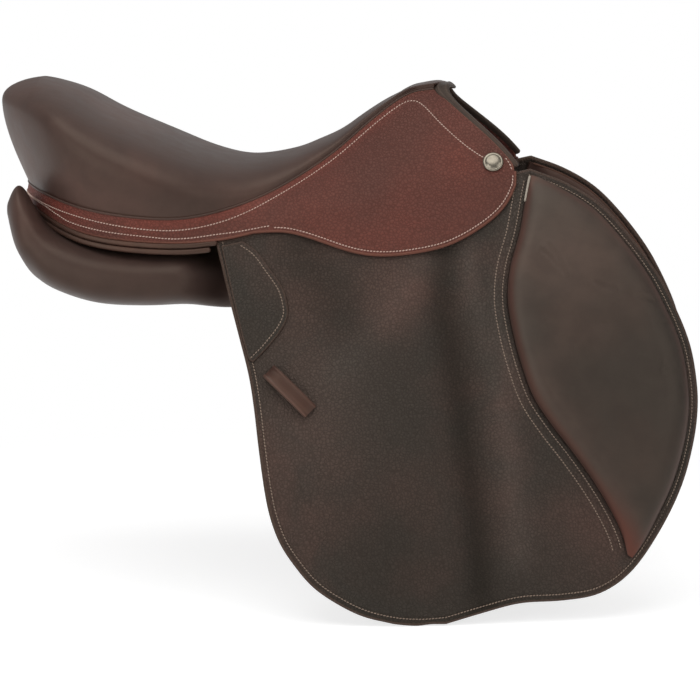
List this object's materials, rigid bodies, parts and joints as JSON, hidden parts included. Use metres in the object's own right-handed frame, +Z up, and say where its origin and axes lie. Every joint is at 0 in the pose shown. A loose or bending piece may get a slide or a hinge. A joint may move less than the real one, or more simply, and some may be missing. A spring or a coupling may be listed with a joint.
{
  "type": "saddle",
  "caption": "Close-contact jumping saddle with padded knee flaps, leather seat over a sprung tree, lifting flaps and skirts, stirrup bars with catches, and girth billets.",
  "frame": {"origin": "on the middle plane, under the seat's deepest point, at the level where the panels bear on the horse's back", "axes": "+X towards the pommel (the horse's head), +Y the horse's left, +Z up"},
  "size_m": [0.653, 0.438, 0.4749],
  "materials": {
    "dark_brown_calf": "smooth waxed calf, soft sheen",
    "dark_brown_grain_leather": "pebbled grain, soft sheen",
    "red_brown_grain_leather": "pebbled grain, soft sheen",
    "billet_leather": "bridle leather, waxed",
    "laminated_beech": "laminated, lacquered",
    "spring_steel": "tempered, oiled",
    "nickel_plate": "polished nickel",
    "latex_foam": "open-cell foam",
    "linen_web": "woven"
  },
  "bodies": {
    "tree_body": {"bar_rivet_front_L": "spring_steel", "bar_rivet_front_R": "spring_steel", "bar_rivet_rear_L": "spring_steel", "bar_rivet_rear_R": "spring_steel", "cantle_band": "red_brown_grain_leather", "catch_pin_L": "spring_steel", "catch_pin_R": "spring_steel", "flap_tab_L": "red_brown_grain_leather", "flap_tab_R": "red_brown_grain_leather", "girth_web": "linen_web", "gullet_lining": "dark_brown_calf", "head_plate": "spring_steel", "knee_block_L": "dark_brown_calf", "knee_block_R": "dark_brown_calf", "nail_head_L": "nickel_plate", "nail_head_R": "nickel_plate", "panel_L": "dark_brown_calf", "panel_R": "dark_brown_calf", "pommel_facing": "red_brown_grain_leather", "rear_strip_lower": "red_brown_grain_leather", "rear_strip_upper": "red_brown_grain_leather", "seat_cover": "dark_brown_calf", "seat_foam": "latex_foam", "seat_welt": "dark_brown_calf", "skirt_yoke_L": "red_brown_grain_leather", "skirt_yoke_R": "red_brown_grain_leather", "stirrup_bar_L": "spring_steel", "stirrup_bar_R": "spring_steel", "sweat_flap_L": "dark_brown_calf", "sweat_flap_R": "dark_brown_calf", "thigh_block_L": "dark_brown_calf", "thigh_block_R": "dark_brown_calf", "tree_frame": "laminated_beech", "tree_spring_L": "spring_steel", "tree_spring_R": "spring_steel"},
    "flap_body_L": {"flap_L": "dark_brown_grain_leather", "knee_pad_L": "dark_brown_calf", "flap_patch_L": "dark_brown_grain_leather", "keeper_L": "dark_brown_grain_leather"},
    "lobe_body_L": {"skirt_lobe_L": "red_brown_grain_leather"},
    "catch_body_L": {"bar_catch_L": "spring_steel"},
    "billets_body_L": {"billet_front_L": "billet_leather", "billet_middle_L": "billet_leather", "billet_rear_L": "billet_leather"},
    "guard_body_L": {"buckle_guard_L": "billet_leather"},
    "flap_body_R": {"flap_R": "dark_brown_grain_leather", "knee_pad_R": "dark_brown_calf", "flap_patch_R": "dark_brown_grain_leather", "keeper_R": "dark_brown_grain_leather"},
    "lobe_body_R": {"skirt_lobe_R": "red_brown_grain_leather"},
    "catch_body_R": {"bar_catch_R": "spring_steel"},
    "billets_body_R": {"billet_front_R": "billet_leather", "billet_middle_R": "billet_leather", "billet_rear_R": "billet_leather"},
    "guard_body_R": {"buckle_guard_R": "billet_leather"}
  },
  "joints": [
    {"name": "flap_lift_L", "type": "hinge", "parent": "tree_body", "child": "flap_body_L", "pos_m": [0.1225, 0.113, 0.094], "axis": [0.9664, -0.1323, 0.2205], "range_deg": [0, 85]},
    {"name": "skirt_lift_L", "type": "hinge", "parent": "flap_body_L", "child": "lobe_body_L", "pos_m": [0.1225, 0.113, 0.094], "axis": [0.9664, -0.1323, 0.2205], "range_deg": [0, 50]},
    {"name": "catch_turn_L", "type": "hinge", "parent": "tree_body", "child": "catch_body_L", "pos_m": [0.13804, 0.10614, 0.10732], "axis": [0.0239, 0.8999, 0.4354], "range_deg": [0, 75]},
    {"name": "billets_swing_L", "type": "hinge", "parent": "tree_body", "child": "billets_body_L", "pos_m": [0.112, 0.08343, 0.08543], "axis": [0, 0.9103, 0.4139], "range_deg": [-3, 3]},
    {"name": "guard_slide_L", "type": "slide", "parent": "billets_body_L", "child": "guard_body_L", "axis": [-0.0151, -0.379, 0.9253], "range_m": [-0.012, 0.012]},
    {"name": "flap_lift_R", "type": "hinge", "parent": "tree_body", "child": "flap_body_R", "pos_m": [0.1225, -0.113, 0.094], "axis": [-0.9664, -0.1323, -0.2205], "range_deg": [0, 85]},
    {"name": "skirt_lift_R", "type": "hinge", "parent": "flap_body_R", "child": "lobe_body_R", "pos_m": [0.1225, -0.113, 0.094], "axis": [-0.9664, -0.1323, -0.2205], "range_deg": [0, 50]},
    {"name": "catch_turn_R", "type": "hinge", "parent": "tree_body", "child": "catch_body_R", "pos_m": [0.13804, -0.10614, 0.10732], "axis": [-0.0239, 0.8999, -0.4354], "range_deg": [0, 75]},
    {"name": "billets_swing_R", "type": "hinge", "parent": "tree_body", "child": "billets_body_R", "pos_m": [0.112, -0.08343, 0.08543], "axis": [0, -0.9103, 0.4139], "range_deg": [-3, 3]},
    {"name": "guard_slide_R", "type": "slide", "parent": "billets_body_R", "child": "guard_body_R", "axis": [-0.0151, 0.379, 0.9253], "range_m": [-0.012, 0.012]}
  ]
}
